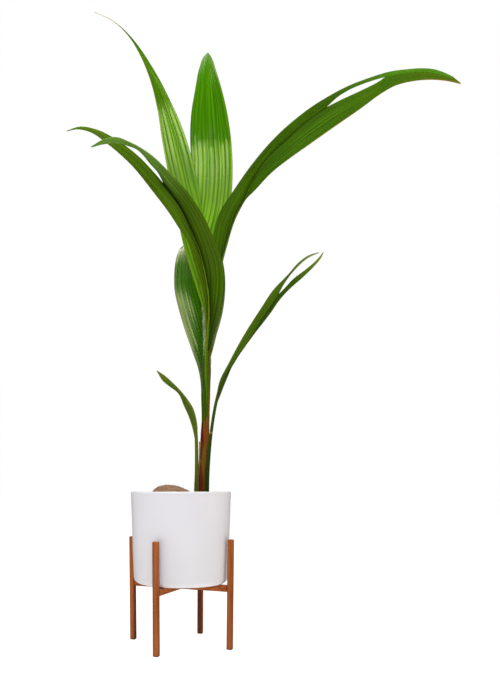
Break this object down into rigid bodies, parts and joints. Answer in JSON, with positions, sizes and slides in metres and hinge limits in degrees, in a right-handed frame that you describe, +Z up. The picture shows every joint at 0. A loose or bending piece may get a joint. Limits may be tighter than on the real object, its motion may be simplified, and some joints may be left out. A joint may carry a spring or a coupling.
{
  "type": "potted young coconut palm",
  "caption": "Young coconut palm sprouting from its husk, with undivided pleated leaves cleft at the tip, in a drafted white pot held by a legged wooden stand.",
  "frame": {"origin": "on the ground under the middle of the plant's outer box, with the stand's feet at Z = 0", "axes": "+Z up along the stem; +X towards the long leaf that arches to the right; the picture looks along +Y"},
  "size_m": [1.02, 0.4594, 1.6833],
  "materials": {
    "glaze": "smooth satin white glaze",
    "soil": "dark crumbly potting mix of bark and peat",
    "husk": "dry brown coconut husk, matt and fibrous",
    "sheath": "red-brown fibrous leaf sheath",
    "stalk": "smooth green petiole, half matt",
    "leaf": "waxy green pleated leaf blade",
    "wood": "oiled reddish hardwood"
  },
  "bodies": {
    "root": {"pot": "glaze", "potting_soil": "soil", "coconut": "husk", "stem_sheath": "sheath", "petiole_upright": "stalk", "petiole_left_arching": "stalk", "petiole_right_arching": "stalk", "petiole_back": "stalk", "petiole_small": "stalk", "petiole_low": "stalk", "leaf_upright": "leaf", "leaf_left_arching": "leaf", "leaf_right_arching": "leaf", "leaf_back": "leaf", "leaf_small": "leaf", "leaf_low": "leaf", "stand_leg_1": "wood", "stand_leg_2": "wood", "stand_leg_3": "wood", "stand_leg_4": "wood", "stand_bar_1": "wood", "stand_bar_2": "wood"}
  },
  "joints": []
}
